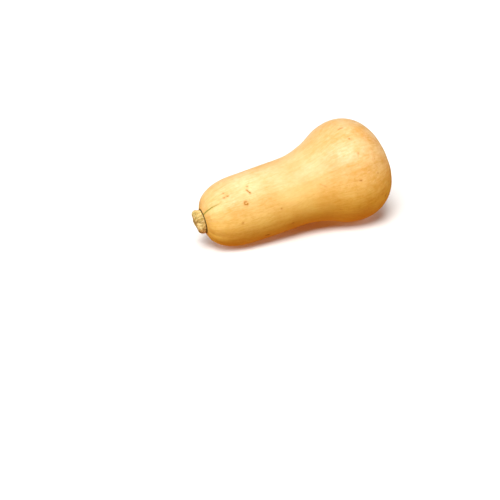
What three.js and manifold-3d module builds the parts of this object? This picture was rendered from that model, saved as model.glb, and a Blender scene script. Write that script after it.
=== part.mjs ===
// Butternut squash lying on its side: one solid fruit with a straight neck and a seed bulb, and its cut
// stem. Millimetres, +Z up. The long axis lies along X with the stem at -X, and Z = 0 is the surface that
// it lies on.
import * as THREE from "three";
import { mergeVertices } from "three/addons/utils/BufferGeometryUtils.js";
import Module from "manifold-3d";

// Fruit, measured along its axis from the shoulder at the stem to the blossom end
const LENGTH = 212.5;
const NECK_RADIUS = 39;
const BULB_RADIUS = 58;
const SPINE_SAG = 3.8; // how far the middle of the axis hangs below a straight line between its ends
const GROUND_SPOT_DEPTH = 1.0; // rind flattened where neck and bulb lay on the ground

// Ribs: broad lobes parted by shallow grooves that run from the stem to the blossom end
const RIB_COUNT = 10;
const GROOVE_ANGLE = THREE.MathUtils.degToRad(38); // first groove, from the top towards -Y
const GROOVE_AT_STEM = 1.1;
const GROOVE_AT_STEM_REACH = 20;
const GROOVE_ON_BULB = 0.5;
const LUMP_HEIGHT = 0.3; // slow unevenness of the rind

// Stem stub and the round seat that it grew from
const SHOULDER_RISE = 1.5; // how far the crest round the seat stands out beyond the start of the axis
const SEAT_RADIUS = 13.2;
const SEAT_DEPTH = 1.8;
const SEAT_GAP = 0.4;
const STEM_RADIUS = 12.6; // at its foot
const STEM_HEIGHT = 8.8; // above the shoulder's crest
const STEM_LOBES = 5;
const STEM_LOBE_HEIGHT = 1.2;
const STEM_CUT_SLANT = 0.14; // rise of the cut face for each millimetre across it

// Blossom scar: a corky button in a shallow dimple
const SCAR_RADIUS = 11;
const SCAR_RIM = 1.6;
const DIMPLE_DEPTH = 3;

// Facets
const FRUIT_SIDES = 80;
const FRUIT_ROWS = 42;
const STEM_SIDES = 40;

// Colours and roughness
const RIND_COLOUR = 0xeebf78;
const RIND_ROUGHNESS = 0.45;
const STEM_COLOUR = 0xb9ac74;
const STEM_ROUGHNESS = 0.8;

const wasm = await Module();
wasm.setup();

// A closed geometry as a solid, and a solid as a geometry
function solidOf(geometry) {
  geometry.deleteAttribute("normal");
  geometry.deleteAttribute("uv");
  const merged = mergeVertices(geometry);
  return new wasm.Manifold(
    new wasm.Mesh({
      numProp: 3,
      vertProperties: merged.getAttribute("position").array,
      triVerts: new Uint32Array(merged.index.array),
    }),
  );
}

function geometryOf(solid) {
  const mesh = solid.getMesh();
  const geometry = new THREE.BufferGeometry();
  geometry.setAttribute("position", new THREE.BufferAttribute(mesh.vertProperties, mesh.numProp));
  geometry.setIndex(new THREE.BufferAttribute(mesh.triVerts, 1));
  geometry.computeVertexNormals();
  return geometry;
}

// The point at a distance along the bent axis, a radius from it and an angle from the top towards -Y
function onSpine(along, radius, angle) {
  const share = (2 * along) / LENGTH - 1;
  const hang = SPINE_SAG * (share * share - 1);
  const lean = Math.atan((4 * SPINE_SAG * share) / LENGTH);
  const up = radius * Math.cos(angle);
  return new THREE.Vector3(
    along - LENGTH / 2 - up * Math.sin(lean),
    -radius * Math.sin(angle),
    hang + up * Math.cos(lean),
  );
}

// Turns a half outline of [along, radius] points about the axis, with each point moved by
// reshape(along, radius, angle), which gives [along, radius]
function turned(outline, sides, reshape) {
  const points = outline.map(([along, radius]) => new THREE.Vector2(radius, along));
  const geometry = new THREE.LatheGeometry(points, sides);
  const position = geometry.getAttribute("position");
  for (let i = 0; i < position.count; i += 1) {
    const radius = Math.hypot(position.getX(i), position.getZ(i));
    const angle = Math.atan2(position.getX(i), position.getZ(i));
    const [newAlong, newRadius] = reshape(position.getY(i), radius, angle);
    position.setXYZ(i, ...onSpine(newAlong, newRadius, angle));
  }
  return geometry;
}

// Half outline of the rind, from the crest round the stem seat to the edge of the blossom dimple
function rindOutline() {
  const points = [
    [-SHOULDER_RISE / LENGTH, 0.37 * NECK_RADIUS],
    [0.014, 0.61 * NECK_RADIUS],
    [0.057, 0.815 * NECK_RADIUS],
    [0.13, 0.955 * NECK_RADIUS],
    [0.25, 0.995 * NECK_RADIUS],
    [0.4, NECK_RADIUS],
    [0.52, 1.02 * NECK_RADIUS],
    [0.62, 0.785 * BULB_RADIUS],
    [0.73, 0.965 * BULB_RADIUS],
    [0.84, 0.995 * BULB_RADIUS],
    [0.93, 0.84 * BULB_RADIUS],
    [0.985, 0.57 * BULB_RADIUS],
    [1.0, 0.31 * BULB_RADIUS],
  ].map(([share, radius]) => new THREE.Vector3(share * LENGTH, radius, 0));
  const curve = new THREE.CatmullRomCurve3(points, false, "centripetal");
  return curve.getSpacedPoints(FRUIT_ROWS).map((p) => [p.x, p.y]);
}

// The stem seat, the rind and the blossom dimple with its scar, as one half outline
function fruitOutline() {
  const scarFloor = LENGTH - DIMPLE_DEPTH;
  return [
    [SEAT_DEPTH - SHOULDER_RISE, 0],
    [SEAT_DEPTH - SHOULDER_RISE, SEAT_RADIUS],
    [0.4 * SEAT_DEPTH - SHOULDER_RISE, SEAT_RADIUS + SEAT_GAP],
    ...rindOutline(),
    [LENGTH - 0.25 * DIMPLE_DEPTH, 1.35 * SCAR_RADIUS],
    [scarFloor, SCAR_RADIUS],
    [scarFloor + SCAR_RIM, 0.92 * SCAR_RADIUS],
    [scarFloor + SCAR_RIM, 0.72 * SCAR_RADIUS],
    [scarFloor + 0.3 * SCAR_RIM, 0.5 * SCAR_RADIUS],
    [scarFloor + 0.6 * SCAR_RIM, 0.22 * SCAR_RADIUS],
    [scarFloor + 0.6 * SCAR_RIM, 0],
  ];
}

// How deep a groove is at a distance along the axis
function grooveDepth(along) {
  const bulb = THREE.MathUtils.smoothstep(along, 0.6 * LENGTH, 0.9 * LENGTH);
  return GROOVE_AT_STEM * Math.exp(-Math.max(along, 0) / GROOVE_AT_STEM_REACH) + GROOVE_ON_BULB * bulb;
}

// Ribs and slow lumps. The seat and the scar, near the axis, stay round.
function reshapeRind(along, radius, angle) {
  const groove = 0.5 + 0.5 * Math.cos(RIB_COUNT * (angle - GROOVE_ANGLE));
  const wave = (2 * Math.PI * along) / LENGTH;
  const longLump = Math.sin(2 * angle + 1.3) * Math.sin(wave + 0.5);
  const shortLump = Math.cos(3 * angle - 0.7) * Math.sin(2 * wave);
  const outside = THREE.MathUtils.smoothstep(radius, SEAT_RADIUS + SEAT_GAP, 1.5 * SEAT_RADIUS);
  const change = LUMP_HEIGHT * (longLump + shortLump) - grooveDepth(along) * groove * groove;
  return [along, radius + outside * change];
}

// A squat stub that swells above its narrow foot in the seat and rounds over to the rim of the dished cut
function stemOutline() {
  const crest = -SHOULDER_RISE;
  const rim = crest - STEM_HEIGHT;
  const foot = crest + SEAT_DEPTH - SEAT_GAP;
  return [
    [rim + 0.8, 0],
    [rim + 0.75, 0.25 * STEM_RADIUS],
    [rim + 0.5, 0.45 * STEM_RADIUS],
    [rim + 0.1, 0.58 * STEM_RADIUS],
    [rim, 0.67 * STEM_RADIUS],
    [rim + 0.3, 0.78 * STEM_RADIUS],
    [rim + 1.1, 0.89 * STEM_RADIUS],
    [rim + 2.4, 0.98 * STEM_RADIUS],
    [rim + 4.0, 1.04 * STEM_RADIUS],
    [rim + 5.6, 1.06 * STEM_RADIUS],
    [rim + 7.0, 1.04 * STEM_RADIUS],
    [crest - 0.6, STEM_RADIUS],
    [crest, 0.98 * STEM_RADIUS],
    [foot, STEM_RADIUS],
    [foot, 0],
  ];
}

// Lobes that fade out at the foot, with small knobs along the rim, and a slanted cut
function reshapeStem(along, radius, angle) {
  const raised = THREE.MathUtils.smoothstep(-along - SHOULDER_RISE, 0, STEM_HEIGHT);
  const reach = radius / STEM_RADIUS;
  const lobe = STEM_LOBE_HEIGHT * Math.cos(STEM_LOBES * (angle - GROOVE_ANGLE) + 0.5 * Math.sin(angle));
  const knob = 0.25 * STEM_LOBE_HEIGHT * Math.cos(3 * STEM_LOBES * angle + 1.1);
  const slant = STEM_CUT_SLANT * radius * Math.cos(angle);
  return [along - raised * slant, radius + raised * reach * reach * (lobe + knob)];
}

// Lowest height of a geometry on each side of X = 0
function lowestHeights(geometry) {
  const position = geometry.getAttribute("position");
  const lowest = { neck: Infinity, bulb: Infinity };
  for (let i = 0; i < position.count; i += 1) {
    const end = position.getX(i) < 0 ? "neck" : "bulb";
    lowest[end] = Math.min(lowest[end], position.getZ(i));
  }
  return lowest;
}

// Leans the fruit until neck and bulb reach equally low, then sets those low points just under Z = 0
function lyingPose(geometry) {
  let [tooLittle, tooMuch] = [0, Math.PI / 8];
  for (let step = 0; step < 30; step += 1) {
    const lean = (tooLittle + tooMuch) / 2;
    const { neck, bulb } = lowestHeights(geometry.clone().rotateY(-lean));
    if (neck > bulb) tooLittle = lean;
    else tooMuch = lean;
  }
  const { bulb } = lowestHeights(geometry.clone().rotateY(-tooMuch));
  return new THREE.Matrix4().makeTranslation(0, 0, -bulb - GROUND_SPOT_DEPTH).multiply(
    new THREE.Matrix4().makeRotationY(-tooMuch),
  );
}

// Cuts off what lies below Z = 0, which leaves the flat ground spots
function restedOnGround(geometry) {
  const side = 4 * BULB_RADIUS;
  const ground = new THREE.BoxGeometry(2 * LENGTH, side, side).translate(0, 0, -side / 2);
  return geometryOf(solidOf(geometry).subtract(solidOf(ground)));
}

function piece(name, geometry, material) {
  const mesh = new THREE.Mesh(geometry, material);
  mesh.name = name;
  return mesh;
}

const fruitAsGrown = turned(fruitOutline(), FRUIT_SIDES, reshapeRind);
const lying = lyingPose(fruitAsGrown);
const fruit = piece(
  "fruit",
  restedOnGround(fruitAsGrown.applyMatrix4(lying)),
  new THREE.MeshStandardMaterial({ color: RIND_COLOUR, roughness: RIND_ROUGHNESS, metalness: 0 }),
);
const stem = piece(
  "stem",
  turned(stemOutline(), STEM_SIDES, reshapeStem).applyMatrix4(lying),
  new THREE.MeshStandardMaterial({ color: STEM_COLOUR, roughness: STEM_ROUGHNESS, metalness: 0 }),
);

const squash = new THREE.Group();
squash.add(fruit, stem);
const centre = new THREE.Box3().setFromObject(squash).getCenter(new THREE.Vector3());
squash.position.set(-centre.x, -centre.y, 0);

export default squash;
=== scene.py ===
"""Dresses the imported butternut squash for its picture: rind, stem, floor, light and camera.

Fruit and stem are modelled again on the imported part's bent axis, finer and with the marks of their surface.
Sizes in the classes are in millimetres and angles in degrees. The scene is in metres, with +Z up.
"""

import logging
import math
import random
from dataclasses import dataclass
from enum import Enum
from typing import Any, Optional, Sequence

import bmesh
import bpy
import numpy as np
from mathutils import Matrix, Vector


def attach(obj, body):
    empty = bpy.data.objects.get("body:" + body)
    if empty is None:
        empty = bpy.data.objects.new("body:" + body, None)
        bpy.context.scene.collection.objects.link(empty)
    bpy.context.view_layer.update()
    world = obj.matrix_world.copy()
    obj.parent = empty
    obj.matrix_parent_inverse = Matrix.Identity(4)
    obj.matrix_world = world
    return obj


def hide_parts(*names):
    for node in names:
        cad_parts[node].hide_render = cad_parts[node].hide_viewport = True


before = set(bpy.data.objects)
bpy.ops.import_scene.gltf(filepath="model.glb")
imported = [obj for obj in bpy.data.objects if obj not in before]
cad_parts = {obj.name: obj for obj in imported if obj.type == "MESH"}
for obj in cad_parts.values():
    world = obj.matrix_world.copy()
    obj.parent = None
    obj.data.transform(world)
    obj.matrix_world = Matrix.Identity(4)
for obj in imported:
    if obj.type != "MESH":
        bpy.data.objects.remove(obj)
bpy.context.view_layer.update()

# Places, each a distance along the axis and a radius or an angle, or else pixels of the photo
Path = tuple[tuple[float, float], ...]

LOG = logging.getLogger("squash")
MM = 0.001
LIMITS = (1, 2, 3, 4)  # inputs of a map node: from low, from high, to low, to high

# Driving sizes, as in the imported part
AXIS_LENGTH = 212.5
AXIS_SAG = 3.8
NECK_RADIUS = 39.0
STEM_RADIUS = 12.6
STEM_FOOT = -0.1  # along the axis
GROOVE_ANGLE = 38.0  # first groove and first lobe of the stem, from the top towards -Y
SCAR_ZONE = 12.0  # length of the blossom end that the scar's marks may reach


class Blend(Enum):
    """How a coat of colour goes over those below it."""

    COVER = "MIX"
    TINT = "MULTIPLY"


class Kind(Enum):
    """Shader nodes that the finishes are made of."""

    ATTRIBUTE = "ShaderNodeAttribute"
    BACKGROUND = "ShaderNodeBackground"
    BUMP = "ShaderNodeBump"
    CELLS = "ShaderNodeTexVoronoi"
    COORDINATES = "ShaderNodeTexCoord"
    MAP = "ShaderNodeMapRange"
    MATH = "ShaderNodeMath"
    MIX = "ShaderNodeMix"
    NOISE = "ShaderNodeTexNoise"
    OUTPUT = "ShaderNodeOutputMaterial"
    ROOM_OUTPUT = "ShaderNodeOutputWorld"
    SEPARATE = "ShaderNodeSeparateXYZ"
    SHADER = "ShaderNodeBsdfPrincipled"
    VECTOR = "ShaderNodeVectorMath"


def srgb(code: str) -> tuple[float, float, float, float]:
    """Turns an sRGB hex colour into the linear colour that shaders take.

    Args:
        code: Colour such as "#E9B76B".

    Returns:
        Linear red, green, blue and an alpha of 1.
    """
    channels = [int(code[i : i + 2], 16) / 255.0 for i in (1, 3, 5)]
    linear = [c / 12.92 if c <= 0.04045 else ((c + 0.055) / 1.055) ** 2.4 for c in channels]
    return (linear[0], linear[1], linear[2], 1.0)


def eased(value: float, low: float, high: float) -> float:
    """Rises from 0 at a low value to 1 at a high one, level at both ends."""
    share = min(max((value - low) / (high - low), 0.0), 1.0)
    return share * share * (3.0 - 2.0 * share)


def direction(azimuth: float, elevation: float) -> Vector:
    """Finds the way from the squash to a light or the camera.

    Args:
        azimuth: Angle from the front, at -Y, towards the blossom end, at +X.
        elevation: Angle above the floor.

    Returns:
        A vector of length 1.
    """
    level = math.cos(math.radians(elevation))
    x = math.sin(math.radians(azimuth)) * level
    y = -math.cos(math.radians(azimuth)) * level
    return Vector((x, y, math.sin(math.radians(elevation))))


def add_node(
    tree: bpy.types.NodeTree, kind: Kind, inputs: dict[Any, Any], **settings: Any
) -> bpy.types.Node:
    """Adds a shader node with its settings, its constant inputs and its links.

    Args:
        tree: Node tree that gets the node.
        kind: Kind of node.
        inputs: Input name or number to a constant, a socket, or a node whose first shown output is linked.
            A tuple of numbers goes to a tuple of constants.
        settings: Properties of the node.

    Returns:
        The new node.
    """
    node = tree.nodes.new(kind.value)
    for name, value in settings.items():
        setattr(node, name, value)
    for key, value in inputs.items():
        if isinstance(key, tuple):
            for number, constant in zip(key, value):
                node.inputs[number].default_value = constant
            continue
        if isinstance(key, int):
            socket = node.inputs[key]
        else:
            socket = next(s for s in node.inputs if s.enabled and s.name == key)
        if isinstance(value, bpy.types.Node):
            value = next(s for s in value.outputs if s.enabled)
        if isinstance(value, bpy.types.NodeSocket):
            tree.links.new(value, socket)
        else:
            socket.default_value = value
    return node


def new_tree(name: str) -> tuple[bpy.types.Material, bpy.types.NodeTree]:
    """Makes an empty node material.

    Args:
        name: Name of the real material.

    Returns:
        The material and its empty node tree.
    """
    material = bpy.data.materials.new(name)
    material.use_nodes = True
    material.node_tree.nodes.clear()
    return material, material.node_tree


@dataclass(frozen=True)
class Coat:
    """One coat of colour: its share at each place, and a hex colour or a node that gives one."""

    share: Any
    paint: Any
    blend: Blend = Blend.COVER


def coated(tree: bpy.types.NodeTree, ground: str, coats: Sequence[Coat]) -> Any:
    """Lays coats of colour over a ground.

    Args:
        tree: Node tree.
        ground: Hex colour of the ground.
        coats: The coats, the lowest first.

    Returns:
        The node that gives the colour.
    """
    colour = srgb(ground)
    for coat in coats:
        paint = srgb(coat.paint) if isinstance(coat.paint, str) else coat.paint
        tints = {"Factor": coat.share, "A": colour, "B": paint}
        colour = add_node(tree, Kind.MIX, tints, data_type="RGBA", blend_type=coat.blend.value)
    return colour


@dataclass(frozen=True)
class Places:
    """What a finish knows of each place on its piece, as outputs in its node tree.

    Body is the place in millimetres. Grain is the place on the surface rolled out to a cylinder, and up and
    along are two of its numbers. Marks are three more numbers that the piece stores.
    """

    tree: bpy.types.NodeTree
    body: Any
    grain: Any
    up: Any
    along: Any
    marks: tuple[Any, ...]

    @classmethod
    def read(cls, tree: bpy.types.NodeTree) -> "Places":
        """Adds the nodes that read the places.

        Args:
            tree: Node tree.

        Returns:
            The places.
        """
        body = add_node(tree, Kind.COORDINATES, {}).outputs["Object"]
        body = add_node(tree, Kind.VECTOR, {0: body, "Scale": 1.0 / MM}, operation="SCALE")
        grain = add_node(tree, Kind.ATTRIBUTE, {}, attribute_name="grain").outputs["Vector"]
        marks = add_node(tree, Kind.ATTRIBUTE, {}, attribute_name="marks").outputs["Vector"]
        up, _, along = add_node(tree, Kind.SEPARATE, {"Vector": grain}).outputs
        marks = add_node(tree, Kind.SEPARATE, {"Vector": marks}).outputs
        return cls(tree, body, grain, up, along, tuple(marks))


@dataclass(frozen=True)
class Spine:
    """Bent axis of the squash as it lies, with the stem at -X and the blossom end raised at +X.

    A place on the squash is its distance along the axis, its radius from the axis, and its angle round the
    axis from the top towards -Y.
    """

    lean: float = 0.0
    middle: tuple[float, float, float] = (0.0, 0.0, 0.0)
    length: float = AXIS_LENGTH
    sag: float = AXIS_SAG

    @classmethod
    def lying(cls, stem: bpy.types.Object) -> "Spine":
        """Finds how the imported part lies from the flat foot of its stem, which is square to the axis.

        Args:
            stem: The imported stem.

        Returns:
            The axis as it lies.
        """
        square = 0.99  # of the foot's faces alone, which look into the fruit
        foot = [face for face in stem.data.polygons if face.normal.x > square]
        area = sum(face.area for face in foot)
        place = sum((face.area * face.center for face in foot), Vector()) / area
        way = sum((face.area * face.normal for face in foot), Vector())
        lean = math.degrees(math.atan2(way.z, way.x) - cls().slope(STEM_FOOT))
        middle = (place - cls(lean).centre(STEM_FOOT)) / MM
        return cls(lean, tuple(middle))

    def slope(self, along: float) -> float:
        """Angle of the axis above the floor at a distance along it, in radians."""
        share = 2.0 * along / self.length - 1.0
        return math.radians(self.lean) + math.atan(4.0 * self.sag * share / self.length)

    def centre(self, along: float) -> Vector:
        """Finds the axis's own point at a distance along it.

        Args:
            along: Distance along the axis.

        Returns:
            The point in the scene, in metres.
        """
        share = 2.0 * along / self.length - 1.0
        chord = along - 0.5 * self.length
        hang = self.sag * (share * share - 1.0)
        lean = math.radians(self.lean)
        x = self.middle[0] + chord * math.cos(lean) - hang * math.sin(lean)
        z = self.middle[2] + chord * math.sin(lean) + hang * math.cos(lean)
        return Vector((x, self.middle[1], z)) * MM

    def unroll(self, points: np.ndarray) -> tuple[np.ndarray, np.ndarray, np.ndarray]:
        """Finds the places on the squash that points of the scene have.

        Args:
            points: Points in metres, one a row.

        Returns:
            Distances along the axis, radii from it, and angles in radians.
        """
        lean = math.radians(self.lean)
        offset = points / MM - np.array(self.middle)
        chord = offset[:, 0] * math.cos(lean) + offset[:, 2] * math.sin(lean)
        height = offset[:, 2] * math.cos(lean) - offset[:, 0] * math.sin(lean)
        along = chord + 0.5 * self.length
        up = height
        for _ in range(4):
            share = 2.0 * along / self.length - 1.0
            tilt = np.arctan(4.0 * self.sag * share / self.length)
            up = (height - self.sag * (share * share - 1.0)) / np.cos(tilt)
            along = chord + 0.5 * self.length + up * np.sin(tilt)
        side = -offset[:, 1]
        return along, np.hypot(up, side), np.arctan2(side, up)


@dataclass(frozen=True)
class PhotoCamera:
    """Camera at the photo's viewing angle, rolled so that the squash keeps its slant in the picture."""

    azimuth: float = -17.0
    elevation: float = 28.0
    roll: float = 5.15
    distance: float = 1300.0
    aim: tuple[float, float, float] = (-56.5, -13.0, -7.3)
    lens: float = 85.0
    sensor: float = 36.0
    photo_side: float = 500.0  # in pixels

    def axes(self) -> tuple[Vector, Vector, Vector]:
        """Finds the camera's own axes.

        Returns:
            The ways to the right, up, and back from the squash to the camera.
        """
        back = direction(self.azimuth, self.elevation)
        turn = Matrix.Rotation(-math.radians(self.roll), 3, back)
        right = turn @ direction(self.azimuth + 90.0, 0.0)
        return right, back.cross(right), back

    def place(self) -> Vector:
        """Where the camera stands, in metres."""
        return (Vector(self.aim) + self.distance * direction(self.azimuth, self.elevation)) * MM

    def shown(self, piece: bpy.types.Object, pixels: Path) -> np.ndarray:
        """Finds the points of a piece that pixels of the photo show.

        Args:
            piece: The piece, in object mode.
            pixels: Distances from the photo's left edge and from its top.

        Returns:
            The points in metres, one a row.

        Raises:
            ValueError: A pixel shows no part of the piece.
        """
        right, up, back = self.axes()
        middle = 0.5 * self.photo_side
        size = self.sensor / self.lens / self.photo_side
        points = []
        for column, row in pixels:
            way = size * ((column - middle) * right + (middle - row) * up) - back
            found, point, _, _ = piece.ray_cast(self.place(), way.normalized())
            if not found:
                raise ValueError(f"{piece.name} isn't at pixel {column}, {row}")
            points.append(point)
        return np.array(points)

    def build(self) -> None:
        """Adds the camera and makes it the scene's own."""
        camera = bpy.data.cameras.new("photo camera")
        camera.lens = self.lens
        camera.sensor_width = self.sensor
        holder = bpy.data.objects.new("photo camera", camera)
        bpy.context.scene.collection.objects.link(holder)
        turn = Matrix(self.axes()).transposed().to_4x4()
        holder.matrix_world = Matrix.Translation(self.place()) @ turn
        bpy.context.scene.camera = holder


class RingModel:
    """A piece modelled on the axis by hand: a filled ring that is extruded again and again."""

    def __init__(self, name: str, spine: Spine, columns: int, first_angle: float) -> None:
        """Sets up the piece.

        Args:
            name: Name of the finished piece.
            spine: Axis that the rings stand on.
            columns: Vertices in each ring.
            first_angle: Angle of column 0 from the top towards -Y.
        """
        self.name = name
        self.spine = spine
        self.columns = columns
        self.first_angle = first_angle
        self.centre = Vector()
        self.radius = 1.0
        self.slope = 0.0
        self.factors = np.ones(columns)
        self.piece: Optional[bpy.types.Object] = None

    def start(self, along: float, radius: float) -> None:
        """Adds the first ring, filled, and leaves it selected in edit mode.

        Args:
            along: Distance of the ring along the axis.
            radius: Radius of the ring.
        """
        bpy.ops.object.select_all(action="DESELECT")
        bpy.ops.mesh.primitive_circle_add(
            vertices=self.columns, radius=radius * MM, fill_type="NGON", rotation=(0.0, math.pi / 2, 0.0)
        )
        bpy.ops.object.transform_apply(location=True, rotation=True, scale=True)
        self.piece = bpy.context.object
        self.piece.name = self.name
        bpy.ops.object.mode_set(mode="EDIT")
        bpy.ops.mesh.select_mode(type="VERT")
        bpy.ops.mesh.select_all(action="SELECT")
        turn = -math.radians(self.first_angle)
        bpy.ops.transform.rotate(value=turn, orient_axis="X", center_override=(0, 0, 0))
        self.centre = self.spine.centre(along)
        self.radius = radius
        self.slope = self.spine.slope(along)
        bpy.ops.transform.rotate(value=self.slope, orient_axis="Y", center_override=(0, 0, 0))
        bpy.ops.transform.translate(value=self.centre)

    def extrude_to(self, along: float, radius: float, tip: float = 0.0) -> None:
        """Extrudes the newest ring to the next station.

        Args:
            along: Distance of the new ring along the axis.
            radius: Radius of the new ring.
            tip: Extra lean of the ring, in radians, that brings its top towards the stem's end.
        """
        centre = self.spine.centre(along)
        slope = self.spine.slope(along) + tip
        bpy.ops.mesh.extrude_region_move(TRANSFORM_OT_translate={"value": centre - self.centre})
        scale = radius / self.radius
        bpy.ops.transform.resize(value=(scale, scale, scale), center_override=centre)
        bpy.ops.transform.rotate(value=slope - self.slope, orient_axis="Y", center_override=centre)
        self.centre, self.radius, self.slope = centre, radius, slope

    def column_of(self, point: Vector) -> int:
        """Finds the column that a point of the newest ring stands in.

        Args:
            point: The point.

        Returns:
            Number of the column.
        """
        offset = point - self.centre
        up = offset.z * math.cos(self.slope) - offset.x * math.sin(self.slope)
        angle = math.degrees(math.atan2(-offset.y, up)) - self.first_angle
        return round(angle * self.columns / 360.0) % self.columns

    def shape_columns(self, factors: np.ndarray) -> None:
        """Gives each column of the newest ring its own factor on the radius, which later rings start with.

        Args:
            factors: One factor a column.
        """
        change = np.round(factors / self.factors, 6)
        mesh = bmesh.from_edit_mesh(self.piece.data)
        ring = {vertex: self.column_of(vertex.co) for vertex in mesh.verts if vertex.select}
        for scale in np.unique(change[change != 1.0]).tolist():
            for vertex, column in ring.items():
                vertex.select_set(bool(change[column] == scale))
            mesh.select_flush_mode()
            bpy.ops.transform.resize(value=(scale, scale, scale), center_override=self.centre)
        for vertex in ring:
            vertex.select_set(True)
        mesh.select_flush_mode()
        self.factors = factors

    def finish(self, levels: int) -> bpy.types.Object:
        """Leaves edit mode and rounds the cage.

        Args:
            levels: Subdivision levels.

        Returns:
            The rounded piece.
        """
        bpy.ops.mesh.select_all(action="SELECT")
        bpy.ops.mesh.normals_make_consistent(inside=False)
        bpy.ops.object.mode_set(mode="OBJECT")
        rounding = self.piece.modifiers.new("rounding", "SUBSURF")
        rounding.levels = levels
        rounding.render_levels = levels
        bpy.ops.object.modifier_apply(modifier=rounding.name)
        bpy.ops.object.shade_smooth()
        return self.piece


def points_of(piece: bpy.types.Object) -> np.ndarray:
    """Reads the vertices of a piece.

    Args:
        piece: The piece, in object mode.

    Returns:
        The points in metres, one a row.
    """
    flat = np.empty(3 * len(piece.data.vertices))
    piece.data.vertices.foreach_get("co", flat)
    return flat.reshape(-1, 3)


def store(piece: bpy.types.Object, name: str, columns: Sequence[np.ndarray]) -> None:
    """Stores three numbers a vertex for the shader.

    Args:
        piece: Piece that gets the attribute.
        name: Name of the attribute.
        columns: Three arrays with one number a vertex.
    """
    layer = piece.data.attributes.new(name, "FLOAT_VECTOR", "POINT")
    layer.data.foreach_set("vector", np.stack(columns, axis=1).astype(np.float32).ravel())


def displace(
    piece: bpy.types.Object,
    height: float,
    texture: Optional[bpy.types.Texture],
    weights: Optional[np.ndarray],
) -> None:
    """Moves the surface of a piece along its normals and applies it.

    Args:
        piece: Active piece, in object mode.
        height: Reach of the move, about the middle of the texture, or the full move without a texture.
        texture: Texture in the piece's own coordinates, or None.
        weights: Share of the move for each vertex, or None for the whole piece.
    """
    modifier = piece.modifiers.new("relief", "DISPLACE")
    modifier.strength = height * MM
    modifier.mid_level = 0.0 if texture is None else 0.5
    modifier.texture_coords = "LOCAL"
    modifier.texture = texture
    if weights is not None:
        group = piece.vertex_groups.new(name="relief")
        for index in np.flatnonzero(weights > 0.01):
            group.add([int(index)], float(weights[index]), "REPLACE")
        modifier.vertex_group = group.name
    bpy.ops.object.modifier_apply(modifier=modifier.name)
    piece.vertex_groups.clear()


def clouds(name: str, size: float, depth: int) -> bpy.types.Texture:
    """Makes a soft noise texture for relief.

    Args:
        name: Name of the texture.
        size: Size of its lumps.
        depth: Number of finer layers.

    Returns:
        The texture.
    """
    texture = bpy.data.textures.new(name, "CLOUDS")
    texture.noise_scale = size * MM
    texture.noise_depth = depth
    return texture


class MarkKind(Enum):
    """Healed marks of a rind, with half their width. A stain has no crust, so its value lies below zero."""

    NICK = 0.8
    SCRATCH = 0.45
    STAIN = -0.5


@dataclass(frozen=True)
class SeenMark:
    """A mark that the photo shows. Its path is in pixels of the photo."""

    name: str
    kind: MarkKind
    pixels: Path


@dataclass(frozen=True)
class Mark:
    """One mark: a path of places on the rind, each a distance along the axis and an angle from the top."""

    kind: MarkKind
    path: Path

    def gap(self, along: np.ndarray, radius: np.ndarray, angle: np.ndarray) -> np.ndarray:
        """Measures how far places on the rind are from the mark's edge.

        Args:
            along: Distances along the axis.
            radius: Radii from the axis.
            angle: Angles in radians.

        Returns:
            Distances over the surface in millimetres, below zero inside the mark.
        """
        nearest = np.full(len(along), np.inf)
        for first, last in zip(self.path, self.path[1:] or self.path):
            x = along - first[0]
            turn = angle - math.radians(first[1])
            y = radius * np.arctan2(np.sin(turn), np.cos(turn))
            run = last[0] - first[0]
            rise = radius * math.radians(last[1] - first[1])
            share = np.clip((x * run + y * rise) / np.maximum(run * run + rise * rise, 1e-9), 0.0, 1.0)
            nearest = np.minimum(nearest, np.hypot(x - share * run, y - share * rise))
        return nearest - self.kind.value


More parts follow.
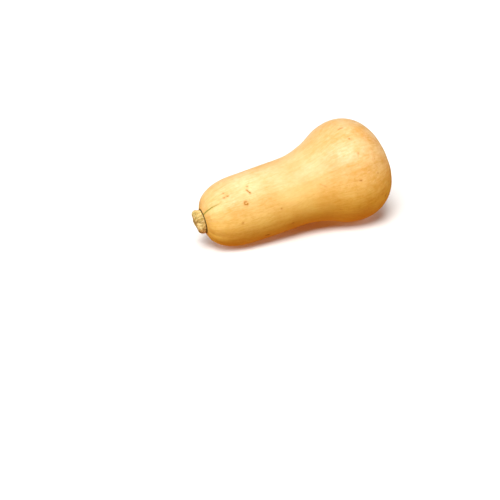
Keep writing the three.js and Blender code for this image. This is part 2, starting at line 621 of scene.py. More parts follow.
@dataclass(frozen=True)
class Rind:
    """Finish of the fruit: hard tan skin under a thin natural wax, with the cork of its scars.

    Noise of a pattern runs from about 0.25 to 0.75, so the limits of its coats lie between those.
    """

    tan: str = "#DDAD6A"
    pale: str = "#EAC991"
    orange: str = "#D7993F"
    cream: str = "#EECD9F"
    amber: str = "#CD932B"
    ground: str = "#EFD7A4"
    # painted shade: tints the skin deeper orange towards the underside
    underside_shade_tint: str = "#FFFA90"
    freckle: str = "#B5702A"
    vein: str = "#76781A"
    vein_edge: str = "#BCA63E"
    # painted shade in the gap round the stem's foot
    crevice_shade: str = "#6A5418"
    crust: str = "#BE8632"
    crust_dark: str = "#8C5A1E"
    rust: str = "#C47A2C"
    cork: str = "#CDB48A"
    cork_brown: str = "#7A5530"
    cork_edge: str = "#4A3018"
    blotch_size: float = 30.0
    flush_size: float = 15.0
    sheen_size: float = 12.0
    mottle_size: float = 4.5
    band_size: float = 5.0
    band_stretch: float = 12.0
    dash_size: float = 1.3
    dash_stretch: float = 5.0
    thread_size: float = 3.25
    thread_stretch: float = 8.0
    ray_size: float = 2.6
    ray_stretch: float = 1000.0
    freckle_size: float = 4.0
    peel_size: float = 2.4
    cork_size: float = 2.2
    ragged_size: float = 1.6
    crumb_size: float = 1.1
    grit_size: float = 0.9
    waist: float = 105.0
    satin: tuple[float, float] = (0.41, 0.5)
    dull_roughness: float = 0.85
    flesh_share: float = 0.12
    flesh_depth: float = 2.0
    pore_depth: float = 0.3
    grit_depth: float = 0.6

    def material(self) -> bpy.types.Material:
        """Makes the rind's material.

        Returns:
            The material.
        """
        # Gives the eye a satin tan skin with soft pale and orange blotches, pale and amber dashes that run
        # lengthwise, freckles, green veins at the stem, brown healed scabs and a corky blossom scar. Painted
        # shade deepens the underside to orange and darkens the seat round the stem's foot. The dashes and
        # pores of a real rind are finer, and are drawn as coarse as they need to be to show.
        material, tree = new_tree("waxed butternut rind")
        at = Places.read(tree)
        coats = self._skin(at)
        dull = 0.0
        for above, share in (self._shoulder(at), self._crusts(at), self._blossom_scar(at)):
            coats += above
            dull = add_node(tree, Kind.MATH, {0: dull, 1: share}, operation="MAXIMUM")
        uneven = {"Vector": at.body, "Scale": 1.0 / self.sheen_size, "Detail": 3.0}
        uneven = add_node(tree, Kind.NOISE, uneven)
        satin = add_node(tree, Kind.MAP, {"Value": uneven, LIMITS: (0.3, 0.7, *self.satin)})
        rough = add_node(tree, Kind.MIX, {"Factor": dull, "A": satin, "B": self.dull_roughness})
        shine = add_node(tree, Kind.MAP, {"Value": dull, LIMITS: (0.0, 1.0, 0.5, 0.1)})
        surface = {
            "Base Color": coated(tree, self.tan, coats),
            "Roughness": rough,
            "Specular IOR Level": shine,
            "IOR": 1.45,
            "Normal": self._relief(at, dull),
            "Subsurface Weight": self.flesh_share,
            "Subsurface Radius": (1.0, 0.45, 0.12),
            "Subsurface Scale": self.flesh_depth * MM,
        }
        shader = add_node(tree, Kind.SHADER, surface)
        add_node(tree, Kind.OUTPUT, {"Surface": shader})
        return material

    def _streaks(self, at: Places, size: float, stretch: float) -> bpy.types.Node:
        """Noise that is drawn out along the fruit.

        Args:
            at: What is known of each place.
            size: Width of the streaks.
            stretch: How many times longer than wide they are.

        Returns:
            The node that gives the noise.
        """
        drawn = {0: at.grain, 1: (1.0, 1.0, 1.0 / stretch)}
        drawn = add_node(at.tree, Kind.VECTOR, drawn, operation="MULTIPLY")
        noise = {"Vector": drawn, "Scale": 1.0 / size, "Detail": 3.0, "Roughness": 0.55}
        return add_node(at.tree, Kind.NOISE, noise)

    def _skin(self, at: Places) -> list[Coat]:
        """Bare skin: blotches, an orange flush on the bulb, streaks, freckles, paler ground spots, painted
        shade below.

        Args:
            at: What is known of each place.

        Returns:
            Its coats.
        """
        tree = at.tree
        blotch = {"Vector": at.body, "Scale": 1.0 / self.blotch_size, "Detail": 5.0}
        blotch = add_node(tree, Kind.NOISE, blotch)
        blotch = add_node(tree, Kind.MAP, {"Value": blotch, LIMITS: (0.36, 0.64, 0.0, 1.0)})
        flush = {"Vector": at.body, "Scale": 1.0 / self.flush_size, "Detail": 5.0, "Roughness": 0.62}
        flush = add_node(tree, Kind.NOISE, flush)
        flush = add_node(tree, Kind.MAP, {"Value": flush, LIMITS: (0.36, 0.62, 0.0, 1.0)})
        bulb = add_node(tree, Kind.MAP, {"Value": at.along, LIMITS: (120.0, 195.0, 0.15, 0.95)})
        flush = add_node(tree, Kind.MATH, {0: flush, 1: bulb}, operation="MULTIPLY")
        coats = [Coat(blotch, self.pale), Coat(flush, self.orange)]
        mottle = {"Vector": at.body, "Scale": 1.0 / self.mottle_size, "Detail": 4.0, "Roughness": 0.65}
        mottle = add_node(tree, Kind.NOISE, mottle)
        bands = self._streaks(at, self.band_size, self.band_stretch)
        dashes = self._streaks(at, self.dash_size, self.dash_stretch)
        waist = add_node(tree, Kind.MATH, {0: at.along, 1: self.waist}, operation="SUBTRACT")
        waist = add_node(tree, Kind.MATH, {0: waist}, operation="ABSOLUTE")
        vivid = add_node(tree, Kind.MAP, {"Value": waist, LIMITS: (10.0, 50.0, 0.6, 1.0)})
        for pattern, most in ((mottle, 0.3), (bands, 0.3), (dashes, 0.4)):
            for code, end in ((self.amber, 0.25), (self.cream, 0.75)):
                share = add_node(tree, Kind.MAP, {"Value": pattern, LIMITS: (0.5, end, 0.0, most)})
                share = add_node(tree, Kind.MATH, {0: share, 1: vivid}, operation="MULTIPLY")
                coats.append(Coat(share, code))
        cells = add_node(tree, Kind.CELLS, {"Vector": at.body, "Scale": 1.0 / self.freckle_size})
        dots = add_node(tree, Kind.MAP, {"Value": cells, LIMITS: (0.06, 0.2, 1.0, 0.0)})
        where = add_node(tree, Kind.MAP, {"Value": flush, LIMITS: (0.15, 0.6, 0.05, 0.5)})
        dots = add_node(tree, Kind.MATH, {0: dots, 1: where}, operation="MULTIPLY")
        # Painted shade: from the top down to the underside the skin turns deeper orange, with less blue
        up = add_node(tree, Kind.MATH, {0: at.up, 1: 1.0 / NECK_RADIUS}, operation="MULTIPLY")
        up = add_node(tree, Kind.MATH, {0: up, 1: at.marks[0]}, operation="MULTIPLY")
        low = add_node(tree, Kind.MAP, {"Value": up, LIMITS: (36.0, -18.0, 0.0, 1.0)})
        height = add_node(tree, Kind.SEPARATE, {"Vector": at.body}).outputs["Z"]
        under = {"Value": height, LIMITS: (7.0, 0.5, 0.0, 0.8)}
        under = add_node(tree, Kind.MAP, under, interpolation_type="SMOOTHSTEP")
        coats.append(Coat(dots, self.freckle))
        coats.append(Coat(low, self.underside_shade_tint, Blend.TINT))
        coats.append(Coat(under, self.ground))
        return coats

    def _shoulder(self, at: Places) -> tuple[list[Coat], bpy.types.Node]:
        """Green veins that fade away from the stem, and painted shade in the dark gap round the stem's foot.

        Args:
            at: What is known of each place.

        Returns:
            Their coats, and the share of painted shade at the stem's foot.
        """
        tree = at.tree
        radius, vein, _ = at.marks
        fade = add_node(tree, Kind.MAP, {"Value": at.along, LIMITS: (5.0, 21.0, 1.0, 0.0)})
        uneven = {"Vector": at.body, "Scale": 1.0 / self.ragged_size, "Detail": 3.0}
        uneven = add_node(tree, Kind.NOISE, uneven)
        ragged = add_node(tree, Kind.MATH, {0: uneven, 1: 0.9, 2: vein}, operation="MULTIPLY_ADD")
        coats = []
        for code, inner, outer, most in ((self.vein_edge, 0.8, 2.4, 0.55), (self.vein, 0.7, 1.4, 0.9)):
            line = add_node(tree, Kind.MAP, {"Value": ragged, LIMITS: (inner, outer, most, 0.0)})
            line = add_node(tree, Kind.MATH, {0: line, 1: fade}, operation="MULTIPLY")
            coats.append(Coat(line, code))
        away = add_node(tree, Kind.MAP, {"Value": at.along, LIMITS: (6.0, 40.0, 0.0, 100.0)})
        ring = add_node(tree, Kind.MATH, {0: radius, 1: away}, operation="ADD")
        ring = add_node(tree, Kind.MATH, {0: ring, 1: uneven}, operation="ADD")
        # Painted shade: darkens the seat in and round the gap at the stem's foot
        dark = {"Value": ring, LIMITS: (13.7, 14.9, 0.9, 0.0)}
        dark = add_node(tree, Kind.MAP, dark, interpolation_type="SMOOTHSTEP")
        coats.append(Coat(dark, self.crevice_shade))
        return coats, dark

    def _crusts(self, at: Places) -> tuple[list[Coat], bpy.types.Node]:
        """Brown healed scabs with a crumbly edge and a rusty halo.

        Args:
            at: What is known of each place.

        Returns:
            Their coats, and the share of crust.
        """
        tree = at.tree
        scab = at.marks[2]
        crumbs = {"Vector": at.body, "Scale": 1.0 / self.crumb_size, "Detail": 3.0}
        crumbs = add_node(tree, Kind.NOISE, crumbs)
        edge = add_node(tree, Kind.MATH, {0: crumbs, 1: 1.3, 2: -0.65}, operation="MULTIPLY_ADD")
        edge = add_node(tree, Kind.MATH, {0: edge, 1: scab}, operation="ADD")
        crust = add_node(tree, Kind.MAP, {"Value": edge, LIMITS: (-0.3, 0.35, 1.0, 0.0)})
        tint = add_node(tree, Kind.MAP, {"Value": crumbs, LIMITS: (0.4, 0.65, 0.0, 1.0)})
        brown = coated(tree, self.crust, [Coat(tint, self.crust_dark)])
        halo = add_node(tree, Kind.MAP, {"Value": scab, LIMITS: (0.3, 1.8, 0.45, 0.0)})
        return [Coat(halo, self.rust), Coat(crust, brown)], crust

    def _blossom_scar(self, at: Places) -> tuple[list[Coat], bpy.types.Node]:
        """Corky button where the blossom fell off, with a thin dark edge and short cracks round it.

        Args:
            at: What is known of each place.

        Returns:
            Its coats, and the share of cork.
        """
        tree = at.tree
        radius = at.marks[0]
        at_end = {0: at.along, 1: AXIS_LENGTH - SCAR_ZONE}
        at_end = add_node(tree, Kind.MATH, at_end, operation="GREATER_THAN")
        rays = self._streaks(at, self.ray_size, self.ray_stretch)
        rays = add_node(tree, Kind.MAP, {"Value": rays, LIMITS: (0.56, 0.66, 0.0, 0.7)})
        near = add_node(tree, Kind.MAP, {"Value": radius, LIMITS: (12.0, 20.0, 1.0, 0.0)})
        rays = add_node(tree, Kind.MATH, {0: rays, 1: near}, operation="MULTIPLY")
        uneven = {"Vector": at.body, "Scale": 1.0 / self.cork_size, "Detail": 3.0}
        uneven = add_node(tree, Kind.NOISE, uneven)
        reach = add_node(tree, Kind.MATH, {0: uneven, 1: 2.4, 2: radius}, operation="MULTIPLY_ADD")
        stain = add_node(tree, Kind.MAP, {"Value": reach, LIMITS: (12.6, 14.0, 0.85, 0.0)})
        cork = add_node(tree, Kind.MAP, {"Value": reach, LIMITS: (11.8, 12.6, 1.0, 0.0)})
        inner = add_node(tree, Kind.MAP, {"Value": reach, LIMITS: (9.4, 7.2, 0.0, 1.0)})
        worn = add_node(tree, Kind.MAP, {"Value": uneven, LIMITS: (0.35, 0.65, 0.0, 0.6)})
        worn = add_node(tree, Kind.MATH, {0: inner, 1: worn}, operation="MAXIMUM")
        button = coated(tree, self.cork, [Coat(worn, self.cork_brown)])
        coats = []
        for share, paint in ((rays, self.cork_brown), (stain, self.cork_edge), (cork, button)):
            share = add_node(tree, Kind.MATH, {0: share, 1: at_end}, operation="MULTIPLY")
            coats.append(Coat(share, paint))
        return coats, coats[-1].share

    def _relief(self, at: Places, dull: Any) -> bpy.types.Node:
        """Fine relief: soft pores, lengthwise threads, wrinkles at the stem, and grit on crust and cork.

        Args:
            at: What is known of each place.
            dull: Share of painted shade at the stem's foot, of crust or of cork.

        Returns:
            The node that gives the normal.
        """
        tree = at.tree
        peel = {"Vector": at.body, "Scale": 1.0 / self.peel_size, "Detail": 2.0}
        peel = add_node(tree, Kind.NOISE, peel)
        thread = self._streaks(at, self.thread_size, self.thread_stretch)
        wrinkled = add_node(tree, Kind.MAP, {"Value": at.along, LIMITS: (-1.0, 12.0, 2.2, 0.4)})
        skin = add_node(tree, Kind.MATH, {0: thread, 1: wrinkled, 2: peel}, operation="MULTIPLY_ADD")
        soft = {"Height": skin, "Strength": 0.25, "Distance": self.pore_depth * MM}
        soft = add_node(tree, Kind.BUMP, soft)
        grit = {"Vector": at.body, "Scale": 1.0 / self.grit_size, "Detail": 3.0}
        grit = add_node(tree, Kind.NOISE, grit)
        grit = add_node(tree, Kind.MATH, {0: grit, 1: dull}, operation="MULTIPLY")
        rough = {"Height": grit, "Strength": 0.7, "Distance": self.grit_depth * MM, "Normal": soft}
        return add_node(tree, Kind.BUMP, rough)


def smooth_line(points: Path, steps: int = 60) -> np.ndarray:
    """Draws a smooth curve through points, the centripetal Catmull-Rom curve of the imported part.

    Args:
        points: Points of the curve, each a distance along the axis and a radius.
        steps: Short straight steps from one point to the next.

    Returns:
        Points close together on the curve, one a row.
    """
    inner = np.array(points)
    path = np.vstack((2.0 * inner[0] - inner[1], inner, 2.0 * inner[-1] - inner[-2]))
    share = np.linspace(0.0, 1.0, steps, endpoint=False)[:, None]
    line = []
    for before, start, end, after in zip(path, path[1:], path[2:], path[3:]):
        near = math.sqrt(np.linalg.norm(start - before))
        step = math.sqrt(np.linalg.norm(end - start))
        far = math.sqrt(np.linalg.norm(after - end))
        leave = step * ((start - before) / near - (end - before) / (near + step) + (end - start) / step)
        arrive = step * ((end - start) / step - (after - start) / (step + far) + (after - end) / far)
        bend = 3.0 * (end - start) - 2.0 * leave - arrive
        twist = 2.0 * (start - end) + leave + arrive
        line.append(start + share * (leave + share * (bend + share * twist)))
    return np.vstack((*line, inner[-1:]))


@dataclass(frozen=True)
class Zone:
    """Stretch of the fruit that ends at a distance along the axis and has evenly spaced rings."""

    name: str
    end: float
    rings: int


@dataclass
class Fruit:
    """The whole fruit: stem seat, shoulder, neck, bulb, blossom dimple and scar, as one skin."""

    spine: Spine
    camera: PhotoCamera
    columns: int = 80

    # Ribs and the grooves between them. They start between two radii of the shoulder, and a groove's section
    # is its share of depth in each column from its middle to the middle of a rib.
    ribs: int = 10
    rib_start: tuple[float, float] = (15.0, 23.0)
    groove_at_stem: float = 1.1
    groove_reach: float = 20.0
    groove_on_bulb: float = 0.5
    groove_rise: tuple[float, float] = (0.6 * AXIS_LENGTH, 0.9 * AXIS_LENGTH)
    groove_section: tuple[float, ...] = (1.0, 0.73, 0.25, 0.0, 0.0)

    # Outline, with lumps by name, size and height
    seat: Path = ((0.3, 3.0), (0.3, 8.0), (0.3, 12.6), (0.0, 13.2), (-1.0, 13.7), (-1.45, 14.4))
    profile: Path = (
        (-1.5, 14.4), (3.0, 23.8), (12.1, 31.8), (27.6, 37.2), (53.1, 38.8), (85.0, 39.0), (110.5, 39.8),
        (131.8, 45.5), (155.1, 56.0), (178.5, 57.7), (197.6, 48.7), (209.3, 33.1), (212.5, 18.0),
    )
    zones: tuple[Zone, ...] = (
        Zone("shoulder", 13.6, 8),
        Zone("top of the neck", 52.5, 16),
        Zone("neck", 102.0, 7),
        Zone("bulb", 186.0, 16),
        Zone("blossom end", 212.2, 10),
    )
    lumps: tuple[tuple[str, float, float], ...] = (("slow lumps", 45.0, 0.8), ("small lumps", 14.0, 0.22))

    # Blossom scar. Its edge wobbles in waves, each with a height, a count and a shift, in full between the
    # two middle radii of its reach.
    scar: Path = (
        (212.0, 16.0), (210.8, 12.6), (209.8, 11.4), (210.2, 10.9), (211.0, 10.2), (211.1, 8.8),
        (210.7, 7.8), (210.0, 6.4), (209.9, 4.6), (210.4, 3.0), (210.7, 1.6),
    )
    scar_waves: tuple[tuple[float, int, float], ...] = ((0.8, 3, 0.5), (0.5, 5, 2.0), (0.3, 11, 0.0))
    scar_step: float = 0.4
    scar_reach: tuple[float, ...] = (3.0, 8.0, 13.0, 17.0)
    bead_reach: tuple[float, float] = (7.5, 11.2)
    bead_swell: float = 1.04
    cork_radius: float = 12.0
    cork_size: float = 2.2
    cork_height: float = 0.9

    # Veins: pixels of the plainest, and how faint each of the five is
    vein_pixels: Path = ((204.3, 213.8), (208.0, 210.4), (212.5, 207.2), (218.5, 204.2))
    vein_faintness: tuple[float, ...] = (0.0, 0.9, 0.5, 1.1, 0.6)
    vein_fading: float = 0.08

    # Healed marks in view, and how many more there are on the hidden sides
    scab_height: float = 0.18
    seen: tuple[SeenMark, ...] = (
        SeenMark("spot at the vein's end", MarkKind.STAIN, ((220.9, 201.4),)),
        SeenMark("scab's upper edge", MarkKind.STAIN, ((223.3, 197.5), (228.1, 195.9))),
        SeenMark("scab's lower edge", MarkKind.STAIN, ((224.8, 198.2), (227.8, 197.0))),
        SeenMark("scab's first crust", MarkKind.SCRATCH, ((223.7, 197.8), (224.3, 197.8))),
        SeenMark("scab's main crust", MarkKind.SCRATCH, ((227.0, 196.4), (228.2, 196.1))),
        SeenMark("grey scab", MarkKind.STAIN, ((222.0, 194.1), (224.5, 192.8))),
        SeenMark("grey scab's crust", MarkKind.SCRATCH, ((223.3, 193.3),)),
        SeenMark("faint scab", MarkKind.STAIN, ((231.0, 193.4),)),
        SeenMark("low speck of the shoulder", MarkKind.SCRATCH, ((243.0, 223.0),)),
        SeenMark("open ring", MarkKind.SCRATCH, (
            (246.4, 201.8), (244.6, 201.9), (244.4, 203.1), (245.1, 204.5), (247.1, 204.4), (247.7, 203.4),
        )),
        SeenMark("open ring's thick end", MarkKind.NICK, ((247.0, 204.4), (247.6, 203.8))),
        SeenMark("faint spot by the ring", MarkKind.STAIN, ((249.5, 199.5),)),
        SeenMark("dash", MarkKind.SCRATCH, ((246.6, 190.1), (249.9, 193.0))),
        SeenMark("dash's thick end", MarkKind.NICK, ((249.9, 192.9),)),
        SeenMark("dot above the dash", MarkKind.SCRATCH, ((247.2, 186.5),)),
        SeenMark("low speck of the neck", MarkKind.SCRATCH, ((281.7, 208.6),)),
        SeenMark("rosy streak", MarkKind.STAIN, ((320.3, 184.3), (326.0, 186.5))),
        SeenMark("long scratch's stain", MarkKind.STAIN, ((337.4, 129.8), (346.0, 125.9))),
        SeenMark("long scratch", MarkKind.SCRATCH, ((338.4, 129.4), (342.2, 127.8))),
        SeenMark("rosy spot", MarkKind.STAIN, ((348.2, 138.6), (351.6, 140.0))),
        SeenMark("rosy spot's crust", MarkKind.SCRATCH, ((348.8, 138.6), (349.4, 138.9))),
        SeenMark("freckle", MarkKind.SCRATCH, ((358.0, 153.1),)),
        SeenMark("freckle's trail", MarkKind.STAIN, ((358.0, 153.1), (358.4, 158.5))),
        SeenMark("low dash", MarkKind.STAIN, ((354.5, 181.4), (360.3, 180.0))),
        SeenMark("low dash's crust", MarkKind.SCRATCH, ((360.3, 180.4), (361.6, 180.3))),
        SeenMark("low freckle", MarkKind.STAIN, ((374.0, 168.6),)),
        SeenMark("lowest freckle", MarkKind.SCRATCH, ((377.8, 172.9),)),
        SeenMark("top freckle", MarkKind.STAIN, ((355.3, 125.1),)),
        SeenMark("end freckle", MarkKind.STAIN, ((368.5, 136.0),)),
    )
    hidden_marks: int = 20
    hidden_along: tuple[float, float] = (25.0, 195.0)
    hidden_angles: tuple[float, float] = (105.0, 340.0)
    piece: Optional[bpy.types.Object] = None

    def groove(self, along: float) -> float:
        """Finds how deep the grooves between the ribs are.

        Args:
            along: Distance along the axis.

        Returns:
            Depth of a groove's middle.
        """
        at_stem = self.groove_at_stem * math.exp(-max(along, 0.0) / self.groove_reach)
        return at_stem + self.groove_on_bulb * eased(along, *self.groove_rise)

    def rings(self) -> list[tuple[float, float]]:
        """Spaces the rings of the skin along its profile, close together where the skin has its marks.

        Returns:
            Distance along the axis and radius of each ring, from the stem seat to the blossom dimple.
        """
        line = smooth_line(self.profile)
        steps = np.linalg.norm(np.diff(line, axis=0), axis=1)
        lengths = np.concatenate(([0.0], np.cumsum(steps)))
        rings = []
        begin = 0.0
        for zone in self.zones:
            end = float(np.interp(zone.end, line[:, 0], lengths))
            for length in np.linspace(begin, end, zone.rings + 1)[1:]:
                along = float(np.interp(length, lengths, line[:, 0]))
                rings.append((along, float(np.interp(length, lengths, line[:, 1]))))
            begin = end
        return rings

    def build(self) -> None:
        """Models the skin ring by ring from the stem seat to the blossom scar, then its lumps and marks."""
        model = RingModel("butternut_fruit", self.spine, self.columns, GROOVE_ANGLE)
        model.start(*self.seat[0])
        for along, radius in self.seat[1:]:
            model.extrude_to(along, radius)
        rib = self.columns // self.ribs
        section = np.array([self.groove_section[min(c % rib, -c % rib)] for c in range(self.columns)])
        for along, radius in self.rings():
            model.extrude_to(along, radius)
            depth = np.interp(radius, self.rib_start, (0.0, 1.0)) * self.groove(along)
            model.shape_columns(1.0 - section * depth / radius)
        self.model_scar(model)
        self.piece = model.finish(levels=2)
        for name, size, height in self.lumps:
            displace(self.piece, height, clouds(name, size, 1), None)
        self.mark()
        self.rest()

    def scar_wobble(self, angle: np.ndarray) -> np.ndarray:
        """How far the uneven edge of the blossom scar stands out at an angle in radians."""
        return sum(height * np.sin(count * angle + shift) for height, count, shift in self.scar_waves)

    def scar_share(self, radius: Any) -> Any:
        """Share of the wobble at a radius: all at the button's edge, none at its middle or on the skin."""
        return np.interp(radius, self.scar_reach, (0.0, 1.0, 1.0, 0.0))

    def model_scar(self, model: RingModel) -> None:
        """Models the dimple and the corky button, with an uneven edge and a beaded rim.

        Args:
            model: The fruit, whose newest ring is the edge of the dimple.
        """
        angles = math.radians(model.first_angle) + 2.0 * math.pi * np.arange(self.columns) / self.columns
        # In steps, so that many columns share a factor
        wobble = np.round(self.scar_wobble(angles) / self.scar_step) * self.scar_step
        beads = np.arange(self.columns) % 2 == 0
        ribbed = model.factors
        inner, outer = self.bead_reach
        for along, radius in self.scar:
            model.extrude_to(along, radius)
            uneven = 1.0 + self.scar_share(radius) * wobble / radius
            beaded = beads & (inner < radius < outer)
            model.shape_columns(ribbed * np.where(beaded, self.bead_swell * uneven, uneven))

    def places(self, pixels: Path) -> Path:
        """Finds the places on the rind that pixels of the photo show.

        Args:
            pixels: Pixels of the photo.

        Returns:
            Distances along the axis, each with an angle.
        """
        along, _, angle = self.spine.unroll(self.camera.shown(self.piece, pixels))
        return tuple(zip(along.tolist(), np.degrees(angle).tolist()))

    def all_marks(self) -> list[Mark]:
        """Adds a few more marks like those that are seen on the sides that aren't.

        Returns:
            All marks.
        """
        marks = [Mark(seen.kind, self.places(seen.pixels)) for seen in self.seen]
        dice = random.Random(7)
        for _ in range(self.hidden_marks):
            along, angle = dice.uniform(*self.hidden_along), dice.uniform(*self.hidden_angles)
            kind = dice.choice((MarkKind.NICK, MarkKind.SCRATCH, MarkKind.STAIN, MarkKind.STAIN))
            end = (along + dice.uniform(0.5, 5.0), angle + dice.uniform(-4.0, 4.0))
            marks.append(Mark(kind, ((along, angle), end)))
        return marks

    def mark(self) -> None:
        """Raises the scabs a little, roughens the scar, and stores what the finish needs at each place."""
        along, radius, angle = self.spine.unroll(points_of(self.piece))
        gap = np.min([mark.gap(along, radius, angle) for mark in self.all_marks()], axis=0)
        vein = self.vein_gap(along, radius, angle)
        at_end = along > AXIS_LENGTH - SCAR_ZONE
        even = radius - np.where(at_end, self.scar_share(radius) * self.scar_wobble(angle), 0.0)
        store(self.piece, "grain", (NECK_RADIUS * np.cos(angle), NECK_RADIUS * np.sin(angle), along))
        store(self.piece, "marks", (even, vein, gap))
        displace(self.piece, self.scab_height, None, np.clip(0.5 - gap, 0.0, 1.0))
        cork = (at_end & (even < self.cork_radius)).astype(float)
        displace(self.piece, self.cork_height, clouds("cork", self.cork_size, 2), cork)

    def vein_gap(self, along: np.ndarray, radius: np.ndarray, angle: np.ndarray) -> np.ndarray:
        """Measures how far places are from the nearest of the five veins that run out from the stem's lobes.

        Args:
            along: Distances along the axis.
            radius: Radii from the axis.
            angle: Angles in radians.

        Returns:
            Distances over the surface in millimetres, with some more for the faint veins.
        """
        path = np.array(self.places(self.vein_pixels))
        main = np.radians(np.interp(along, path[:, 0], path[:, 1]))
        gaps = []
        for number, faint in enumerate(self.vein_faintness):
            turn = angle - main - number * 2.0 * math.pi / len(self.vein_faintness)
            gap = radius * np.abs(np.arctan2(np.sin(turn), np.cos(turn)))
            gaps.append(gap + faint * (1.0 + self.vein_fading * np.maximum(along, 0.0)))
        return np.min(gaps, axis=0)

    def rest(self) -> None:
        """Presses the ground spots flat onto the floor."""
        bpy.ops.object.mode_set(mode="EDIT")
        bpy.ops.mesh.select_all(action="DESELECT")
        mesh = bmesh.from_edit_mesh(self.piece.data)
        for vertex in mesh.verts:
            vertex.select_set(vertex.co.z < 0.0)
        mesh.select_flush_mode()
        bpy.ops.transform.resize(value=(1.0, 1.0, 0.0), center_override=(0.0, 0.0, 0.0))
        bpy.ops.object.mode_set(mode="OBJECT")

    def dress(self, finish: Rind) -> None:
        """Gives the fruit its finish and its place in the frame.

        Args:
            finish: The rind.
        """
        self.piece.data.materials.append(finish.material())
        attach(self.piece, "root")
        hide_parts("fruit")


@dataclass(frozen=True)
class StemCork:
    """Finish of the stem: dry, corky, straw coloured wood."""

    straw: str = "#DCB669"
    olive: str = "#AB9039"
    # paler dry wood on the crests, with a painted highlight
    ridge_pale_and_highlight: str = "#F8E0A0"
    fissure: str = "#7A6022"
    # painted shade where the foot goes into the fruit
    crevice_shade: str = "#5C4A16"
    cut: str = "#CCB25E"
    heart: str = "#907430"
    blotch_size: float = 7.0
    knob_size: float = 5.5
    bend_size: float = 2.5
    ridge_size: float = 1.5
    ridge_stretch: float = 3.5
    fibre_size: float = 0.8
    fibre_depth: float = 0.5
    roughness: float = 0.42

    def material(self) -> bpy.types.Material:
        """Makes the stem's material.

        Returns:
            The material.
        """
        # Gives the eye pale dry ridges with painted highlights on their crests, over straw and olive wood,
        # a dull yellow cut with a darker heart, and a painted shade line where the foot goes into the fruit.
        material, tree = new_tree("corky squash stem")
        at = Places.read(tree)
        cut, foot, radius = at.marks
        blotch = {"Vector": at.body, "Scale": 1.0 / self.blotch_size, "Detail": 4.0, "Roughness": 0.6}
        blotch = add_node(tree, Kind.NOISE, blotch)
        blotch = add_node(tree, Kind.MAP, {"Value": blotch, LIMITS: (0.38, 0.58, 0.0, 1.0)})
        cut = add_node(tree, Kind.MAP, {"Value": cut, LIMITS: (0.3, 0.8, 0.0, 0.85)})
        heart = add_node(tree, Kind.MAP, {"Value": radius, LIMITS: (5.0, 1.5, 0.0, 0.7)})
        heart = add_node(tree, Kind.MATH, {0: heart, 1: cut}, operation="MULTIPLY")
        drawn = {0: at.grain, 1: (1.0, 1.0, 1.0 / self.ridge_stretch)}
        drawn = add_node(tree, Kind.VECTOR, drawn, operation="MULTIPLY")
        ridges = {"Vector": drawn, "Scale": 1.0 / self.ridge_size, "Detail": 3.0, "Roughness": 0.6}
        ridges = add_node(tree, Kind.NOISE, ridges)
        # Crests of the ridges: paler dry wood, and a painted highlight on them
        crest = add_node(tree, Kind.MAP, {"Value": ridges, LIMITS: (0.46, 0.66, 0.0, 0.8)})
        valley = add_node(tree, Kind.MAP, {"Value": ridges, LIMITS: (0.46, 0.3, 0.0, 0.5)})
        bent = add_node(tree, Kind.NOISE, {"Vector": at.body, "Scale": 1.0 / self.bend_size})
        bent = {0: bent.outputs["Color"], 1: (2.4, 2.4, 2.4), 2: at.body}
        bent = add_node(tree, Kind.VECTOR, bent, operation="MULTIPLY_ADD")
        knobs = {"Vector": bent, "Scale": 1.0 / self.knob_size}
        knobs = add_node(tree, Kind.CELLS, knobs, feature="DISTANCE_TO_EDGE")
        crack = {"Value": knobs, LIMITS: (0.0, 0.12, 0.45, 0.0)}
        crack = add_node(tree, Kind.MAP, crack, interpolation_type="SMOOTHSTEP")
        coats = (
            Coat(blotch, self.straw),
            Coat(cut, self.cut),
            Coat(heart, self.heart),
            Coat(crest, self.ridge_pale_and_highlight),
            Coat(valley, self.fissure),
            Coat(crack, self.fissure),
            # painted shade at the foot, where it goes into the fruit
            Coat(foot, self.crevice_shade),
        )
        colour = coated(tree, self.olive, coats)
        fibre = {"Vector": at.body, "Scale": 1.0 / self.fibre_size, "Detail": 4.0, "Roughness": 0.65}
        fibre = add_node(tree, Kind.NOISE, fibre)
        height = add_node(tree, Kind.MATH, {0: ridges, 1: 2.5, 2: fibre}, operation="MULTIPLY_ADD")
        height = add_node(tree, Kind.MATH, {0: height, 1: crack}, operation="SUBTRACT")
        normal = {"Height": height, "Strength": 0.8, "Distance": self.fibre_depth * MM}
        normal = add_node(tree, Kind.BUMP, normal)
        surface = {"Base Color": colour, "Roughness": self.roughness, "IOR": 1.45, "Normal": normal}
        shader = add_node(tree, Kind.SHADER, surface)
        add_node(tree, Kind.OUTPUT, {"Surface": shader})
        return material


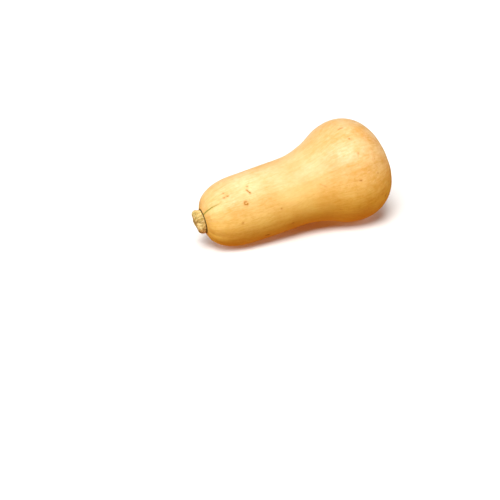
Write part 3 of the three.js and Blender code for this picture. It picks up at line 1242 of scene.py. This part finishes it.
@dataclass
class Stem:
    """The short cut stub in the seat of the fruit: five ridged lobes with a slanted, slightly dished cut."""

    spine: Spine
    columns: int = 40
    lobes: int = 5
    lobe_height: float = 1.4
    lobe_section: tuple[float, ...] = (1.0, 1.0, 0.0, -1.0, -1.0, -1.0, 0.0, 1.0)
    flute_height: float = 0.4
    crest: float = -1.5
    height: float = 8.8
    slant: float = 0.14  # rise of the cut for each millimetre across it
    rim_radius: float = 9.5
    core_radius: float = 6.0
    cut_edge: tuple[float, float] = (6.8, 8.4)
    foot_shade: float = 0.95
    relief: tuple[tuple[str, float, int, float], ...] = (
        ("knobs", 4.6, 1, 1.4), ("wrinkles", 1.5, 2, 0.45),
    )  # name, size, finer layers and height
    outline: Path = (
        (-0.1, 4.0), (-0.1, 9.0), (-0.1, 12.2), (-0.5, 12.6), (-1.2, 12.75), (-1.9, 12.95), (-2.6, 13.2),
        (-3.6, 13.45), (-4.8, 13.5), (-6.0, 13.2), (-7.2, 12.6), (-8.3, 11.8), (-9.2, 10.8), (-9.9, 9.7),
        (-10.3, 8.6), (-10.25, 7.5), (-9.95, 6.4), (-9.7, 5.0), (-9.55, 3.2), (-9.5, 1.5),
    )
    piece: Optional[bpy.types.Object] = None

    def raised(self, along: float) -> float:
        """Share of the stem's height that a ring has, eased at both ends."""
        return eased(self.crest - along, 0.0, self.height)

    def build(self) -> None:
        """Models the stub ring by ring from its foot over the rim to the middle of the cut."""
        model = RingModel("butternut_stem", self.spine, self.columns, GROOVE_ANGLE)
        model.start(*self.outline[0])
        step = self.columns // self.lobes
        lobes = np.array([self.lobe_section[column % step] for column in range(self.columns)])
        dice = random.Random(5)
        flutes = np.array([dice.choice((-1.0, 0.0, 1.0)) for _ in range(self.columns)])
        swell = self.lobe_height * lobes + self.flute_height * flutes
        for along, radius in self.outline[1:]:
            raised = self.raised(along)
            model.extrude_to(along, radius, math.atan(self.slant * raised))
            reach = min(radius / self.rim_radius, 1.0)
            model.shape_columns(1.0 + raised * reach * reach * swell / max(radius, self.core_radius))
        self.piece = model.finish(levels=2)
        self.roughen()

    def roughen(self) -> None:
        """Adds knobs and wrinkles above the foot, and stores the cut face and the foot's painted shade."""
        along, radius, angle = self.spine.unroll(points_of(self.piece))
        cut = np.interp(radius, self.cut_edge, (1.0, 0.0)) * (along < self.crest - 0.5 * self.height)
        # Painted shade: the foot darkens where it goes into the fruit
        foot = np.interp(along, (self.crest - 1.0, self.crest - 0.2), (0.0, self.foot_shade))
        store(self.piece, "grain", (STEM_RADIUS * np.cos(angle), STEM_RADIUS * np.sin(angle), along))
        store(self.piece, "marks", (cut, foot, radius))
        above = np.interp(along, (self.crest - 2.4, self.crest - 0.4), (1.0, 0.0))
        for name, size, depth, height in self.relief:
            displace(self.piece, height, clouds(name, size, depth), above)

    def dress(self, finish: StemCork) -> None:
        """Gives the stem its finish and its place in the frame.

        Args:
            finish: The corky wood.
        """
        self.piece.data.materials.append(finish.material())
        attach(self.piece, "root")
        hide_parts("stem")


@dataclass(frozen=True)
class SoftLight:
    """One wide studio light, far enough away to light the whole floor evenly.

    Azimuth 0 stands in front, at -Y, and -90 at the stem's end. The spread is how wide the light looks from
    the squash.
    """

    name: str
    azimuth: float
    elevation: float
    spread: float
    strength: float

    def build(self) -> None:
        """Adds the light."""
        light = bpy.data.lights.new(self.name, "SUN")
        light.angle = math.radians(self.spread)
        light.energy = self.strength
        holder = bpy.data.objects.new(self.name, light)
        bpy.context.scene.collection.objects.link(holder)
        way = direction(self.azimuth, self.elevation)
        holder.location = way
        holder.rotation_euler = (-way).to_track_quat("-Z", "Y").to_euler()


@dataclass
class Studio:
    """Pale floor, a pale wall all round and soft light from the upper left.

    Warm light comes up from below the horizon, and the white floor doesn't light the squash or shade it. The
    tops of wall and glow are heights on a ball round the squash, from -1 below to 1 above.
    """

    floor_size: float = 40.0
    floor_colour: str = "#EDEBE8"
    floor_roughness: float = 0.95
    floor_shine: float = 0.1
    wall_colour: str = "#FFFFFF"
    ceiling_colour: str = "#000000"
    glow_colour: str = "#C27014"
    wall_top: tuple[float, float] = (0.2, 0.06)
    glow_top: tuple[float, float] = (-0.3, -0.04)
    lights: tuple[SoftLight, ...] = (
        SoftLight("left", -80.0, 30.0, 30.0, 1.3),
        SoftLight("key", -27.0, 60.0, 30.0, 3.55),
        SoftLight("right fill", 60.0, 30.0, 30.0, 0.68),
        SoftLight("back", 165.0, 50.0, 30.0, 0.77),
    )

    def build(self) -> None:
        """Adds the floor, the lights and the room."""
        bpy.ops.object.select_all(action="DESELECT")
        bpy.ops.mesh.primitive_plane_add(size=self.floor_size, location=(0.0, 0.0, 0.0))
        floor = bpy.context.object
        floor.name = "floor"
        # Matt white card: gives the eye a plain pale ground with a soft shadow.
        material, tree = new_tree("white card")
        card = {
            "Base Color": srgb(self.floor_colour),
            "Roughness": self.floor_roughness,
            "Specular IOR Level": self.floor_shine,
        }
        shader = add_node(tree, Kind.SHADER, card)
        add_node(tree, Kind.OUTPUT, {"Surface": shader})
        floor.data.materials.append(material)
        floor.visible_diffuse = False
        floor.visible_glossy = False
        floor.visible_shadow = False
        for light in self.lights:
            light.build()
        self.room()
        bpy.context.scene.view_settings.view_transform = "Standard"

    def room(self) -> None:
        """Adds the surroundings: a pale wall all round, a dark ceiling, and a warm glow from below."""
        world = bpy.data.worlds.new("pale room")
        world.use_nodes = True
        tree = world.node_tree
        tree.nodes.clear()
        way = add_node(tree, Kind.COORDINATES, {}).outputs["Object"]
        height = add_node(tree, Kind.SEPARATE, {"Vector": way}).outputs["Z"]
        low = add_node(tree, Kind.MAP, {"Value": height, LIMITS: (*self.wall_top, 0.0, 1.0)})
        tints = {"Factor": low, "A": srgb(self.ceiling_colour), "B": srgb(self.wall_colour)}
        colour = add_node(tree, Kind.MIX, tints, data_type="RGBA")
        above = add_node(tree, Kind.MAP, {"Value": height, LIMITS: (*self.glow_top, 0.0, 1.0)})
        tints = {"Factor": above, "A": srgb(self.glow_colour), "B": colour}
        colour = add_node(tree, Kind.MIX, tints, data_type="RGBA")
        light = add_node(tree, Kind.BACKGROUND, {"Color": colour})
        add_node(tree, Kind.ROOM_OUTPUT, {"Surface": light})
        bpy.context.scene.world = world


def write_sizes() -> None:
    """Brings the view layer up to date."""
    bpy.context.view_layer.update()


def main() -> None:
    """Builds and dresses the squash, sets the studio and the camera, and reports the pieces."""
    logging.basicConfig(level=logging.INFO, format="%(name)s: %(message)s")
    spine = Spine.lying(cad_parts["stem"])
    LOG.info("axis leans %.3f degrees, middle at %.3f, %.3f, %.3f mm", spine.lean, *spine.middle)
    camera = PhotoCamera()
    fruit = Fruit(spine, camera)
    fruit.build()
    fruit.dress(Rind())
    stem = Stem(spine)
    stem.build()
    stem.dress(StemCork())
    Studio().build()
    camera.build()
    for part in (fruit, stem):
        LOG.info("%s: %d faces", part.piece.name, len(part.piece.data.polygons))
    write_sizes()


if __name__ == "__main__":
    main()
